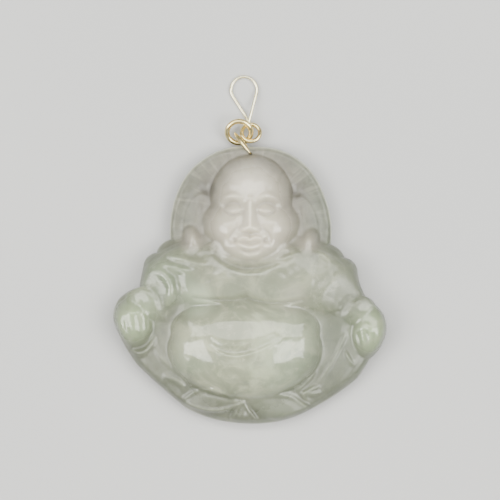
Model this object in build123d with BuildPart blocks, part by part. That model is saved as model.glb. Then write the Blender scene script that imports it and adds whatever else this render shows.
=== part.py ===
from build123d import *
from math import asin, cos, degrees, exp, hypot, pi, radians, sin, sqrt
import os

# A pendant carved from one piece of jade: a seated, laughing-bellied monk in relief
# in front of a round halo plate, with the gold findings that hang it from a chain.
# Millimetres. The pendant lies on its flat back: +Z leaves the carved face, +Y points
# to the crown, and the origin is the middle of the back.

# Jade carving
jade_width = 47.0
jade_height = 47.5
jade_depth = 9.2
rim_round = 1.0
rim_height = 2.0
back_rise = 1.6
back_margin = 7.0
hole_diameter = 0.6
hole_to_crown = 1.11
hole_side = 0.1

# Gold findings
large_ring_size = 5.0
large_ring_wire = 0.88
small_ring_size = 3.82
small_ring_wire = 0.7
small_ring_seam = 0.08
bail_length = 4.65
bail_height = 1.83
bail_wire = 0.28
leaf_width = 0.86
leaf_taper = 1.3
leaf_rise = 0.75
prong_gap = 0.3
loop_wire = 0.48
loop_size = 4.93
loop_length = 8.53
loop_neck = 0.5

# Clearances and directions of the slack findings
piece_gap = 0.06
floor_gap = 0.02
rim_gap = 0.19
bail_turn = 37.5
large_ring_turn = 18.0
small_ring_turn = -3.0
seam_turn = 196.0
loop_turn = 9.0
ring_overlap = 0.56

# Facets of the carving, and the narrowest groove in percent that they can show
facet_length = 0.9
facet_rows = 32
finest_groove = 1.0

# Outline of the jade, as arcs from the crown clockwise. Each row has a point half way
# and the end, in percent of the jade's width and height from its middle.
crown = (1.0, 50.0)
outline_arcs = [
    # name,              mid_x,  mid_y,  end_x,  end_y
    ("halo_top_right",     16.6,   46.4,   26.3,   34.5),
    ("halo_right",         29.3,   25.5,   29.5,   14.9),
    ("shoulder_right",     32.7,     13,   34.6,   10.1),
    ("sleeve_top_right",   37.8,    8.5,   39.3,    5.2),
    ("arm_right",          40.3,    0.4,   42.3,     -4),
    ("cuff_right",         44.4,   -5.1,   45.9,   -7.1),
    ("hand_back_right",      49,  -10.9,   49.8,  -16.8),
    ("hand_side_right",    47.7,  -22.2,   43.6,  -26.7),
    ("hem_top_right",      41.7,    -30,   39.1,  -33.6),
    ("hem_right",          30.9,  -39.7,   21.1,  -45.3),
    ("base_right",           15,  -47.9,    7.3,  -49.6),
    ("base_middle",        -1.3, -49.96,    -12,  -48.6),
    ("base_left",         -17.9,  -46.8,  -23.4,  -44.2),
    ("hem_left",          -32.6,  -36.6,  -41.2,  -28.7),
    ("hem_top_left",      -45.8,  -21.7,  -48.9,  -15.3),
    ("hand_left",         -49.7,   -8.7,  -46.9,   -3.9),
    ("cuff_left",         -43.8,   -1.8,  -40.4,   -0.6),
    ("arm_left",          -39.8,    3.1,    -39,    6.7),
    ("sleeve_top_left",   -37.8,    9.9,  -34.2,   11.9),
    ("shoulder_left",     -32.5,   14.8,  -29.2,   16.7),
    ("halo_left",         -28.8,   25.8,  -26.3,   34.5),
    ("halo_top_left",     -16.6,   46.1,      1,     50),
]

# Rounded forms, in percent of the width (x, half_width), height (y, up, down) and depth
# (foot, top). Fullness 0.5 is a quarter round and 1 a soft mound. Blend is the depth
# over which a form melts into its neighbours.
forms = [
    # name,           x,      y,  half_w,     up,   down,   turn,   foot,    top, fullness, blend
    ("torso",        -0.4,     -7,     46,     27,     42,      0,     30,     50,   0.35,      6),
    ("shoulder_l",    -25,      4,     15,    9.6,    9.6,     30,     42,     61,    0.5,     12),
    ("shoulder_r",     24,      3,     16,    9.8,     11,    -30,     42,     63,    0.5,     14),
    ("arm_l",       -33.5,      0,    7.8,     11,     11,    -30,     40,     58,    0.5,      9),
    ("arm_r",          33,   -1.5,    8.6,     11,     11,     32,     40,     54,    0.5,     10),
    ("chest",        -0.6,      1,   23.6,     18,    8.8,      0,     46,     66,   0.45,      9),
    ("pec_l",       -11.4,     -1,     12,     12,      6,      3,     60,     72,    0.8,      8),
    ("pec_r",        10.6,   -0.6,   12.6,     12,    6.6,     -4,     60,   71.5,    0.8,      8),
    ("belly_top",    -1.7,  -15.4,   27.2,     11,     16,      0,     40,     86,    0.5,     10),
    ("belly",        -1.9,    -23,   28.2,     18,   17.8,      0,     36,   98.5,   0.52,     12),
    ("ear_l",       -18.4,     23,    5.4,     10,      9,     -9,     29,   41.5,    1.1,     12),
    ("lobe_l",      -20.8,   16.4,    3.6,    5.4,    4.4,     10,     30,     60,   0.85,      9),
    ("ear_r",          19,   22.2,    5.4,     10,      9,     11,     29,   41.5,    1.1,     12),
    ("lobe_r",       21.4,   15.4,    3.6,    5.4,    4.4,    -10,     30,     60,   0.85,      9),
    ("cranium",       0.5,   31.4,     15,   15.6,     15,      0,     33,     78,   0.66,      6),
    ("jowls",         0.3,   21.4,     18,     13,     13,      0,     33,     81,    0.6,      6),
    ("chin_roll",       0,   14.5,   13.8,      7,    7.2,      0,     33,     83,    0.6,      6),
    ("cuff_l",      -37.8,   -5.4,    7.8,    5.8,      7,    -28,     40,     59,    0.5,      8),
    ("hand_l",      -42.4,  -12.9,    7.8,    8.8,    9.6,      8,     34,     68,   0.58,      6),
    ("cuff_r",       39.6,   -7.6,      7,      6,      7,     36,     40,     59,    0.5,      8),
    ("hand_r",       43.6,  -16.4,    6.8,   10.2,    9.8,     -8,     34,     66,   0.58,      6),
    ("drape_l",     -35.4,  -27.4,   12.5,      6,      6,    -44,     32,     46,    0.8,      6),
    ("drape_r",        35,  -28.8,   12.5,    6.6,    6.6,     44,     32,     47,    0.8,      8),
    ("leg_l",       -13.2,    -42,     11,      4,    3.8,     -4,     36,     50,   0.45,      5),
    ("leg_r",        11.4,  -43.6,   11.5,    3.8,    5.2,     -8,     36,     51,    0.5,      5),
    ("tab",          -2.6,    -46,    3.6,      5,    4.4,      0,     34,     48,    0.8,      5),
]

# Folds (height above 0) and grooves (below 0), each along a curve with a start, a
# middle and an end. Width and height are half the width and the depth that it adds.
folds = [
    # name,          start_x, start_y, mid_x, mid_y, end_x, end_y,  width, height
    ("collar_l",         -29.2,     11,  -23.4,    8.9,  -16.6,    7.4,    1.5,      4),
    ("collar_low_l",     -33.4,    9.2,  -28.2,    6.4,    -21,    5.2,    1.7,      4),
    ("shoulder_dip_l",     -32,    9.6,    -27,    8.6,    -20,    6.6,      1,     -2),
    ("sleeve_a_l",       -36.2,    6.2,  -28.9,    0.6,  -31.2,  -10.4,      2,      8),
    ("sleeve_a_dip_l",     -29,    5.6,  -25.6,     -1,  -28.4,  -11.4,    2.4,     -3),
    ("cuff_edge_l",      -40.8,   -1.2,  -35.8,   -4.8,    -33,  -11.2,    2.2,      3),
    ("cuff_dip_l",       -38.6,    0.4,  -33.4,   -3.6,  -31.8,     -9,    1.7,     -3),
    ("collar_r",            25,   12.2,   27.8,   10.4,   29.2,    8.2,    1.2,      5),
    ("collar_low_r",      28.6,      7,   27.6,      5,   24.6,    3.4,    1.5,      2),
    ("neck_r",               4,    7.6,   10.4,    9.4,     17,   11.6,    0.9,    2.5),
    ("under_chin",       -12.6,   11.4,   -0.2,    6.2,     13,   11.2,    1.2,     -5),
    ("sleeve_a_r",          34,    3.4,   27.4,   -0.8,     26,     -9,    2.8,      5),
    ("sleeve_a_dip_r",      30,      4,     24,      0,   22.4,     -8,    2.2,   -2.5),
    ("sleeve_dip_r",      39.6,   -3.6,     35,   -5.6,   32.6,  -11.2,    1.6,     -3),
    ("cuff_edge_r",         41,   -5.6,   36.4,   -8.8,   33.2,    -15,      2,      3),
    ("robe_edge_r",       34.6,  -17.6,   31.2,    -25,   25.6,  -34.6,   0.75,    3.5),
    ("belly_edge_r",      23.7,  -30.9,   21.2,  -34.1,   17.6,  -37.6,    0.6,      3),
    ("robe_fold_r",       34.8,  -23.6,   35.6,  -25.6,   37.2,  -28.4,   0.75,    4.5),
    ("robe_edge_low_l",    -35,  -21.5,  -31.4,  -26.6,  -26.8,  -31.2,    1.2,      4),
    ("fold_end_l",       -30.5,  -32.6,    -26,  -34.6,  -24.4,    -37,    1.2,      6),
    ("under_hand_l",     -43.3,    -23,  -38.9,    -24,    -35,  -19.2,    1.1,      8),
    ("leg_top_l",        -24.2,    -41,    -15,  -37.4,   -4.6,  -41.9,    0.7,      4),
    ("leg_low_l",        -22.8,  -42.4,    -13,    -45,   -3.3,  -42.4,    0.7,      6),
    ("lap_line_l",       -21.4,  -36.8,    -12,  -39.6,   -2.6,  -41.2,    0.7,   -2.5),
    ("belly_foot",         -22,    -36,     -2,    -41,     18,    -37,    2.6,      5),
    ("leg_top_r",            0,  -41.5,   12.4,  -39.6,   21.4,  -44.6,    0.9,      4),
    ("star_a",            19.3,  -38.8,   22.3,  -37.4,   24.5,  -36.3,    0.9,      6),
    ("star_b",            19.7,  -38.6,   22.3,    -39,   24.8,  -38.6,    0.8,      5),
    ("star_c",            19.2,    -39,   19.7,  -39.9,   20.8,    -41,    0.8,      5),
    ("tab_l",             -2.7,  -41.7,   -5.1,  -45.3,   -6.6,  -48.9,    0.8,    3.5),
    ("tab_r",             -2.7,  -41.7,      0,  -45.3,    2.2,  -49.1,    0.8,    3.5),
    ("tab_gap_l",           -4,  -42.6,   -6.6,  -45.6,   -8.2,  -48.6,    0.8,     -3),
    ("tab_gap_r",         -1.2,  -42.6,    1.6,  -45.6,    3.8,  -48.9,    0.8,     -3),
    ("breast_line",      -20.4,   -4.2,     -8,   -5.2,     -1,   -4.2,    0.6,     -5),
    ("breast_line_r",       -1,   -4.2,      8,   -6.2,     19,     -5,    0.6,     -5),
    ("belly_crease",       -16,  -14.6,      0,    -16,     14,  -14.6,    3.4,   -1.2),
    ("navel_lip",        -13.8,  -21.7,     -5,  -25.4,    8.6,  -20.8,    0.7,    1.6),
    ("navel_fold",       -14.6,    -20,   -4.6,  -23.2,    9.2,  -18.6,    1.6,   -3.4),
    ("finger_gap_1_l",   -45.4,  -10.4,  -44.9,    -14,  -43.8,  -18.6,    1.2,   -2.2),
    ("finger_gap_2_l",     -41,  -10.4,  -40.4,    -14,  -40.2,  -18.6,    1.2,   -2.2),
    ("finger_gap_1_r",      39,  -16.8,   39.6,    -19,   40.6,  -22.4,      1,   -2.5),
    ("finger_gap_2_r",      42,  -15.8,   42.4,  -18.6,   42.8,  -22.4,      1,     -3),
    ("finger_gap_3_r",    44.9,  -16.6,   44.9,    -19,   44.6,  -22.4,      1,   -2.5),
    ("knuckles_r",        37.6,    -17,   41.8,  -14.8,   45.4,  -17.4,    1.6,      2),
    ("knuckles_l",       -47.4,  -11.4,  -42.8,   -9.6,  -38.2,    -11,    1.8,      3),
    ("brow_l",           -10.8,     30,     -7,   32.2,   -2.4,   30.8,    1.2,      4),
    ("brow_r",            10.8,     30,      7,   32.2,    2.4,   30.8,    1.2,      4),
    ("crease_l",          -9.2,     28,   -6.2,   29.9,   -3.2,   28.4,    0.6,     -4),
    ("crease_r",           9.2,     28,    6.2,   29.9,    3.2,   28.4,    0.6,     -4),
    ("lash_l",            -9.4,     27,   -6.2,   25.5,     -3,   26.6,    0.5,     -5),
    ("lash_r",             9.4,     27,    6.2,   25.5,      3,   26.6,    0.5,     -5),
    ("bridge",               0,     31,      0,   26.5,      0,   21.6,    1.5,      9),
    ("side_l",            -2.2,   27.6,     -3,     24,   -4.4,   20.2,    1.2,   -2.5),
    ("side_r",             2.2,   27.6,      3,     24,    4.4,   20.2,    1.2,   -2.5),
    ("nose_base",         -2.6,     19,      0,   18.5,    2.6,     19,    0.6,     -6),
    ("philtrum",             0,   18.6,      0,   17.8,      0,     17,    0.6,     -3),
    ("lip_line",          -5.2,   16.1,      0,   15.5,    5.2,   16.1,   0.45,     -7),
    ("lip_upper_l",       -4.6,   16.4,   -2.4,   17.4,   -0.2,   16.7,    0.8,      5),
    ("lip_upper_r",        4.6,   16.4,    2.4,   17.4,    0.2,   16.7,    0.8,      5),
    ("lip_lower",         -3.8,     15,      0,   13.6,    3.8,     15,    1.1,      7),
    ("lip_under",           -3,   12.9,      0,     12,      3,   12.9,    0.8,     -5),
    ("smile_l",           -4.6,   20.4,   -6.9,     18,   -7.2,   15.4,    0.8,     -3),
    ("smile_r",            4.6,   20.4,    6.9,     18,    7.2,   15.4,    0.8,     -3),
]

# Small soft swellings and hollows laid on the forms.
swellings = [
    # name,            x,      y,  half_w, half_h,   turn, height
    ("socket_l",        -6.2,     28,    4.4,      3,      0,     -7),
    ("socket_r",         6.2,     28,    4.4,      3,      0,     -7),
    ("eye_l",           -6.2,   27.4,      3,      2,      0,      8),
    ("eye_r",            6.2,   27.4,      3,      2,      0,      8),
    ("nose_tip",           0,   20.9,      2,    1.8,      0,      7),
    ("nostril_l",       -2.4,   20.2,    1.3,    1.2,      0,      6),
    ("nostril_r",        2.4,   20.2,    1.3,    1.2,      0,      6),
    ("cheek_l",          -10,   20.5,    5.5,      5,      0,      5),
    ("cheek_r",           10,   20.5,    5.5,      5,      0,      5),
    ("chin",               0,   10.6,    4.2,    2.2,      0,      5),
    ("lip_corner_l",    -5.7,   16.2,    0.9,    0.9,      0,     -5),
    ("lip_corner_r",     5.7,   16.2,    0.9,    0.9,      0,     -5),
    ("robe_fill_l",    -24.6,   -8.6,    4.6,    4.6,      0,      4),
    ("chest_side_l",   -23.8,    0.6,    2.6,      5,      4,      4),
    ("robe_fill_r",     23.6,   -9.8,    4.6,      5,      0,      3),
    ("chest_side_r",    22.6,   -2.6,    3.2,      6,      8,      5),
    ("valley_fill_r",   31.5,    -14,      4,      7,     10,      3),
    ("navel",           -2.4,  -35.6,    2.6,    1.1,      0,     -4),
    ("concha_l",       -17.9,   25.6,    1.6,    4.4,     -9,     -4),
    ("concha_r",        18.7,   24.6,    1.6,    4.4,     11,     -4),
    ("temple_l",       -16.2,     35,      2,    2.6,     20,     -4),
    ("temple_r",        17.4,   34.4,      2,    2.6,    -20,     -4),
]


def in_percent(x, y):
    """A place in millimetres as percent of the jade's width and height."""
    return x * 100 / jade_width, y * 100 / jade_height


def in_millimetres(x, y):
    """A place in percent of the jade's width and height as millimetres."""
    return x * jade_width / 100, y * jade_height / 100


def smooth_max(a, b, blend):
    """The larger of two heights, with the crease between them filled."""
    return (a + b + hypot(a - b, blend)) / 2


def turned(x, y, degrees_turned):
    """A step seen from axes that are turned anticlockwise."""
    angle = radians(degrees_turned)
    return x * cos(angle) + y * sin(angle), y * cos(angle) - x * sin(angle)


def form_height(x, y, row):
    """Height of one rounded form, falling away outside its foot."""
    name, mid_x, mid_y, half_width, up, down, turn, foot, top, fullness, blend = row
    across, along = turned(x - mid_x, y - mid_y, turn)
    share = 1 - (across / half_width) ** 2 - (along / (up if along > 0 else down)) ** 2
    rise = share ** fullness if share > 0 else 2 * share
    return foot + (top - foot) * rise


def fold_line(row, steps=10):
    """Points along a fold's curve, as a parabola through its middle."""
    name, start_x, start_y, mid_x, mid_y, end_x, end_y, width, height = row
    pull_x = 2 * mid_x - (start_x + end_x) / 2
    pull_y = 2 * mid_y - (start_y + end_y) / 2
    line = []
    for step in range(steps + 1):
        t = step / steps
        line.append((
            (1 - t) ** 2 * start_x + 2 * t * (1 - t) * pull_x + t * t * end_x,
            (1 - t) ** 2 * start_y + 2 * t * (1 - t) * pull_y + t * t * end_y,
        ))
    return line


def nearest_on_line(x, y, line):
    """Distance to a line of points, and how far along it the nearest place is, 0 to 1."""
    best = (1e9, 0.0)
    for index in range(len(line) - 1):
        (x0, y0), (x1, y1) = line[index], line[index + 1]
        run_x, run_y = x1 - x0, y1 - y0
        share = ((x - x0) * run_x + (y - y0) * run_y) / (run_x ** 2 + run_y ** 2)
        share = min(max(share, 0), 1)
        distance = hypot(x - x0 - share * run_x, y - y0 - share * run_y)
        best = min(best, (distance, (index + share) / (len(line) - 1)))
    return best


def fold_height(x, y, row, line):
    """What one fold adds, fading out toward its ends and away from its line."""
    width, height = row[-2:]
    drawn = max(width, finest_groove)
    reach = 3 * drawn
    if not (min(p[0] for p in line) - reach < x < max(p[0] for p in line) + reach):
        return 0
    if not (min(p[1] for p in line) - reach < y < max(p[1] for p in line) + reach):
        return 0
    distance, along = nearest_on_line(x, y, line)
    fade = sqrt(sin(pi * (0.05 + 0.9 * along)))
    return height * width / drawn * fade * exp(-((distance / drawn) ** 2))


def swelling_height(x, y, row):
    """What one small swelling or hollow adds."""
    name, mid_x, mid_y, half_width, half_height, turn, height = row
    across, along = turned(x - mid_x, y - mid_y, turn)
    return height * exp(-1.2 * ((across / half_width) ** 2 + (along / half_height) ** 2))


fold_lines = [fold_line(row) for row in folds]


def relief_height(x, y):
    """Height of the carving above the back, at a place in millimetres."""
    x, y = in_percent(x, y)
    height = halo_height
    for row in forms:
        height = smooth_max(height, form_height(x, y, row), row[-1])
    for row, line in zip(folds, fold_lines):
        height += fold_height(x, y, row, line)
    for row in swellings:
        height += swelling_height(x, y, row)
    return height * jade_depth / 100


def facet_height(x, y):
    """Height of the carving averaged over a facet, which keeps steep edges even."""
    step = facet_length / 3
    near = [(-step, -step), (-step, step), (step, -step), (step, step)]
    return sum(relief_height(x + dx, y + dy) for dx, dy in near) / len(near)


def front_height(x, y, inset):
    """Height of the front, rounded over toward the rim."""
    share = min(inset / rim_round, 1)
    return rim_height + (facet_height(x, y) - rim_height) * sqrt(1 - (1 - share) ** 2)


def back_height(inset):
    """Height of the back, which is flat in the middle and rises toward the rim."""
    share = min(inset / back_margin, 1)
    return back_rise * (1 - sqrt(1 - (1 - share) ** 2))


def outline_points():
    """Points along the jade's outline, an even number of facets to each arc."""
    points = []
    with BuildLine():
        start = in_millimetres(*crown)
        for name, mid_x, mid_y, end_x, end_y in outline_arcs:
            arc = ThreePointArc(start, in_millimetres(mid_x, mid_y), in_millimetres(end_x, end_y))
            facets = 2 * max(1, round(arc.length / facet_length / 2))
            points += [arc @ (step / facets) for step in range(facets)]
            start = in_millimetres(end_x, end_y)
    return points


def ring_of_points(rim, inset, height):
    """The outline drawn in toward the carving's middle, with a height for each point."""
    ring = []
    for point in rim:
        reach = hypot(point.X - middle_x, point.Y - middle_y)
        share = 1 - inset(reach) / reach
        x = middle_x + (point.X - middle_x) * share
        y = middle_y + (point.Y - middle_y) * share
        ring.append(Vector(x, y, height(x, y)))
    return ring


def carved_rings(rim):
    """All rings of the carving, from its middle out over the rim to the flat back."""
    rings = []
    for row in range(1, facet_rows + 1):
        left = 1 - row / facet_rows
        rays = rim if left < 0.55 else rim[::2]
        rings.append(ring_of_points(
            rays,
            lambda reach: rim_round + (reach - rim_round) * left,
            lambda x, y: front_height(x, y, rim_round),
        ))
    for share in (0.55, 0.2, 0.03):
        inset = rim_round * share
        rings.append(ring_of_points(rim, lambda reach: inset, lambda x, y: front_height(x, y, inset)))
    for share in (0, 0.06, 0.25, 0.55, 1):
        inset = back_margin * share
        rings.append(ring_of_points(rim, lambda reach: inset, lambda x, y: back_height(inset)))
    return rings


def band(inner, outer):
    """Triangles between two rings, the outer with as many points or twice as many.

    A four-sided gap is split along its shorter diagonal, which follows the folds."""
    triangles = []
    step = len(outer) // len(inner)
    for a in range(len(inner)):
        b = (a + 1) % len(inner)
        near = [outer[(a * step + k) % len(outer)] for k in range(step + 1)]
        if step == 1 and (near[0] - inner[b]).length < (near[1] - inner[a]).length:
            triangles += [(inner[a], near[0], inner[b]), (inner[b], near[0], near[1])]
            continue
        triangles += [(inner[a], near[k], near[k + 1]) for k in range(step)]
        triangles.append((inner[a], near[-1], inner[b]))
    return triangles


def faceted_solid(top, rings):
    """A closed solid of triangles: a fan at the top, bands between rings, a flat back."""
    triangles = [(top, rings[0][a - 1], rings[0][a]) for a in range(len(rings[0]))]
    for inner, outer in zip(rings, rings[1:]):
        triangles += band(inner, outer)
    faces = [Face(Wire.make_polygon(corners)) for corners in triangles]
    faces.append(Face(Wire.make_polygon(rings[-1])))
    return Solid(Shell(faces))


# Places that the pieces share
halo_height = 31.0
middle_x, middle_y = in_millimetres(-0.7, 8.5)
hole_x = hole_side
hole_y = jade_height / 2 - hole_to_crown
hole_top = front_height(hole_x, hole_y, hole_to_crown)
hole_middle = (hole_top + back_height(hole_to_crown)) / 2

# The bail stands upright in a plane that leans left from the hole. Its back leg lies
# lowest, the large ring's wire rests on that leg, and the loop's hook lies beside them.
bail_plane = Plane(
    origin=(hole_x, hole_y, 0),
    x_dir=(-sin(radians(bail_turn)), cos(radians(bail_turn)), 0),
    z_dir=(cos(radians(bail_turn)), sin(radians(bail_turn)), 0),
)
back_leg_height = floor_gap + bail_wire / 2
leaf_top = hole_top + leaf_rise
leaf_end = floor_gap + bail_height
bail_reach = bail_length - bail_wire / 2

# Rings that lie through each other: the large one passes over the small one at their
# upper crossing and under it at the lower one.
large_mean = (large_ring_size - large_ring_wire) / 2
small_mean = (small_ring_size - small_ring_wire) / 2
ring_spacing = ring_overlap * (large_mean + small_mean)
crossing_x = (ring_spacing**2 + large_mean**2 - small_mean**2) / (2 * ring_spacing)
crossing_y = sqrt(large_mean**2 - crossing_x**2)
crossing_lift = (large_ring_wire + small_ring_wire) / 2 + 3 * piece_gap
bail_crossing = (hole_to_crown + rim_gap + large_ring_wire / 2) / cos(radians(bail_turn))
large_reach = large_mean * cos(radians(large_ring_turn))
small_reach = small_mean * cos(radians(loop_turn))

# The loop's hook lies lowest and the small ring on it. The large ring lies on the bail's
# back leg and over the hook, and the small ring's other side lies on the large ring.
hook_radius = (small_ring_wire + loop_wire) / 2 + piece_gap
hook_low = floor_gap + loop_wire / 2
hook_high = hook_low + 2 * hook_radius
small_rest = hook_low + hook_radius
large_rest = back_leg_height + bail_wire / 2 + piece_gap + large_ring_wire / 2
large_high = hook_high + (loop_wire + large_ring_wire) / 2 + 3 * piece_gap
hook_side = ring_spacing - small_mean * sin(radians(loop_turn))
over_hook_y = (sqrt(large_mean**2 - hook_side**2) + crossing_y) / 2
large_slope = (large_high - large_rest) / (over_hook_y + large_reach)
large_height = large_rest + large_slope * large_reach
small_high = large_height - large_slope * crossing_y + crossing_lift
small_slope = (small_high - small_rest) / (crossing_y + small_reach)
small_height = small_rest + small_slope * small_reach

# Places of the two rings in plan, from the hole outward.
bail_x = hole_x - bail_crossing * sin(radians(bail_turn))
bail_y = hole_y + bail_crossing * cos(radians(bail_turn))
large_x = bail_x - large_mean * sin(radians(large_ring_turn))
large_y = bail_y + large_reach
small_x = large_x + ring_spacing * cos(radians(small_ring_turn))
small_y = large_y + ring_spacing * sin(radians(small_ring_turn))
large_ring_plane = Plane(
    origin=(large_x, large_y, large_height),
    x_dir=(1, 0, 0),
    z_dir=(0, -large_slope, 1),
)
small_ring_plane = Plane(
    origin=(small_x, small_y, small_height),
    x_dir=(1, 0, 0),
    z_dir=(0, small_slope, 1),
)
hook = small_ring_plane.from_local_coords(
    (-small_mean * sin(radians(loop_turn)), small_mean * cos(radians(loop_turn)), 0)
)


def loop_point(along, across, rise):
    """A place on the wire loop, counted from the small ring's wire that it holds."""
    angle = radians(loop_turn)
    x = hook.X - along * sin(angle) + across * cos(angle)
    y = hook.Y + along * cos(angle) + across * sin(angle)
    return (x, y, hook.Z + rise)


def loop_corners():
    """Corners and radii of the wire loop: a hook around the ring and a round eye."""
    eye_radius = (loop_size - loop_wire) / 2
    eye_middle = loop_length - loop_wire / 2 - eye_radius
    half_angle = asin(eye_radius / (eye_middle - loop_neck))
    corners = [
        loop_point(loop_neck, 0, hook_radius),
        loop_point(-hook_radius, 0, hook_radius),
        loop_point(-hook_radius, 0, -hook_radius),
        loop_point(loop_neck, 0, -hook_radius),
    ]
    radii = [2 * loop_wire, 0.97 * hook_radius, 0.97 * hook_radius, 2 * loop_wire]
    corner_turn = (pi / 2 + half_angle) / 2
    corner_reach = eye_radius / cos(corner_turn / 2)
    for number in (-1.5, -0.5, 0.5, 1.5):
        angle = number * corner_turn
        corners.append(loop_point(
            eye_middle + corner_reach * cos(angle),
            corner_reach * sin(angle),
            -hook_radius,
        ))
        radii.append(0.97 * eye_radius)
    return corners, radii


# Jade: one carved solid with a drilled hole near the crown.
rim = outline_points()
top = Vector(middle_x, middle_y, front_height(middle_x, middle_y, rim_round))
with BuildPart() as jade_buddha:
    add(faceted_solid(top, carved_rings(rim)))
    with Locations((hole_x, hole_y, jade_depth)):
        Hole(hole_diameter / 2)
jade_buddha.part.label = "jade_buddha"

# Pinch bail: a wire loop with two prongs in the hole and a leaf on its front leg.
with BuildPart() as pinch_bail:
    with BuildLine(bail_plane) as bail_wire_line:
        FilletPolyline(
            (0, hole_middle + prong_gap / 2),
            (0, leaf_top),
            (bail_reach, leaf_end),
            (bail_reach, back_leg_height),
            (0, back_leg_height),
            (0, hole_middle - prong_gap / 2),
            radius=[1.2 * bail_wire, 2 * bail_wire, 2 * bail_wire, bail_wire],
        )
    bail_path = bail_wire_line.wire()
    with BuildSketch(Plane(bail_path @ 0, z_dir=bail_path % 0)):
        Circle(bail_wire / 2)
    sweep(path=bail_path)
    leaf_line = Edge.make_line(
        bail_plane.from_local_coords((0, leaf_top, 0)),
        bail_plane.from_local_coords((bail_reach, leaf_end, 0)),
    )
    for share in (0.03, 0.15, 0.35, 0.55, 0.75, 0.97):
        swelling = (leaf_width - bail_wire) * sin(pi * share**leaf_taper)
        with BuildSketch(Plane(leaf_line @ share, z_dir=leaf_line % share)):
            Circle((bail_wire + swelling) / 2)
    loft()
pinch_bail.part.label = "pinch_bail"

# Jump rings: round wire, the small one with the open seam of a cut ring.
with BuildPart(large_ring_plane) as large_ring:
    Torus(large_mean, large_ring_wire / 2)
large_ring.part.label = "large_ring"

with BuildPart(small_ring_plane) as small_ring:
    seam_angle = degrees(small_ring_seam / small_mean)
    Torus(small_mean, small_ring_wire / 2, major_angle=360 - seam_angle, rotation=(0, 0, seam_turn))
small_ring.part.label = "small_ring"

# Wire loop: one closed wire that hooks the small ring and opens into an eye for a chain.
with BuildPart() as wire_loop:
    with BuildLine() as loop_wire_line:
        corners, radii = loop_corners()
        FilletPolyline(*corners, radius=radii, close=True)
    loop_edges = loop_wire_line.wire().edges()
    for half in (loop_edges[:8], loop_edges[8:]):
        loop_path = Wire(half)
        with BuildSketch(Plane(loop_path @ 0, z_dir=loop_path % 0)):
            Circle(loop_wire / 2)
        sweep(path=loop_path)
wire_loop.part.label = "wire_loop"

os.makedirs("parts", exist_ok=True)
export_step(jade_buddha.part, "parts/jade_buddha.step", write_pcurves=False)
export_step(pinch_bail.part, "parts/pinch_bail.step")
export_step(large_ring.part, "parts/large_ring.step")
export_step(small_ring.part, "parts/small_ring.step")
export_step(wire_loop.part, "parts/wire_loop.step")
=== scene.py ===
"""Looks of the jade buddha pendant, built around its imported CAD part.

The carving is made again from the tables of the CAD source with a far finer mesh, and the
gold findings keep their CAD shapes. The pendant lies on its flat back under soft panels,
and the camera looks straight down with the crown at the top of the picture.
"""

import math

import bpy
import numpy as np
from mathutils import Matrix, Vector


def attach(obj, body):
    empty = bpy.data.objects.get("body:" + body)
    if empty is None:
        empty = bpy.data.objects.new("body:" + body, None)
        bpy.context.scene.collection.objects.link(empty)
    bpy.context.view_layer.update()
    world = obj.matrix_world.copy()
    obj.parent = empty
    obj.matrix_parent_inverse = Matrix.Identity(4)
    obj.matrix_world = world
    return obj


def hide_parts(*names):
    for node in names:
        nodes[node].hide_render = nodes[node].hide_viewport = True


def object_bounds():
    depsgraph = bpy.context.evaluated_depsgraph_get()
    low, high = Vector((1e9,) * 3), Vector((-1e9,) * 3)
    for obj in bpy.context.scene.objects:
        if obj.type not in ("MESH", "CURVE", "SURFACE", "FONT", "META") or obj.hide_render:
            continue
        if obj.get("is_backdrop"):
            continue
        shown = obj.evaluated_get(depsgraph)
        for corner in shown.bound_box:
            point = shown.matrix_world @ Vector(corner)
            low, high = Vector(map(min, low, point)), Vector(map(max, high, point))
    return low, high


MM = 0.001

# Sizes of the carving in millimetres, as in the CAD source
JADE_WIDTH = 47.0
JADE_HEIGHT = 47.5
JADE_DEPTH = 9.2
RIM_ROUND = 1.0
RIM_HEIGHT = 2.0
BACK_RISE = 1.6
BACK_MARGIN = 7.0
HOLE_DIAMETER = 0.6
HOLE_TO_CROWN = 1.11
HOLE_SIDE = 0.1
HOLE_SIDES = 32

# The halo plate's height in percent of the depth, and two places in percent of the width
# and height: the carving's middle, from which its rings spread, and its crown
HALO_HEIGHT = 31.0
MIDDLE = (-0.7, 8.5)
CROWN = (1.0, 50.0)

# Unevenness left by the hand carving, in percent: waves that each turn by an angle in
# radians and shrink by a share, with their crests bent, and nearly none on the belly
WAVER_WAVES = 9
WAVER_TURN = 2.4
WAVER_LENGTH = 11.0
WAVER_SHRINK = 0.85
WAVER_RISE = 0.16
WAVER_SHIFT = 1.7
BEND_LENGTH = 1.9
BEND_REACH = 1.3
CALM_PLACE = (-1.9, -21)
CALM_REACH = (27, 16)
CALM_SHARE = 0.8

# How fine the carving's mesh is: millimetres along the rim, and rings of points
RIM_SPACING = 0.2
FRONT_RINGS = 124
RIM_RINGS = 8
BACK_RINGS = 10
HALVED_WITHIN = (0.5, 0.25)

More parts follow.
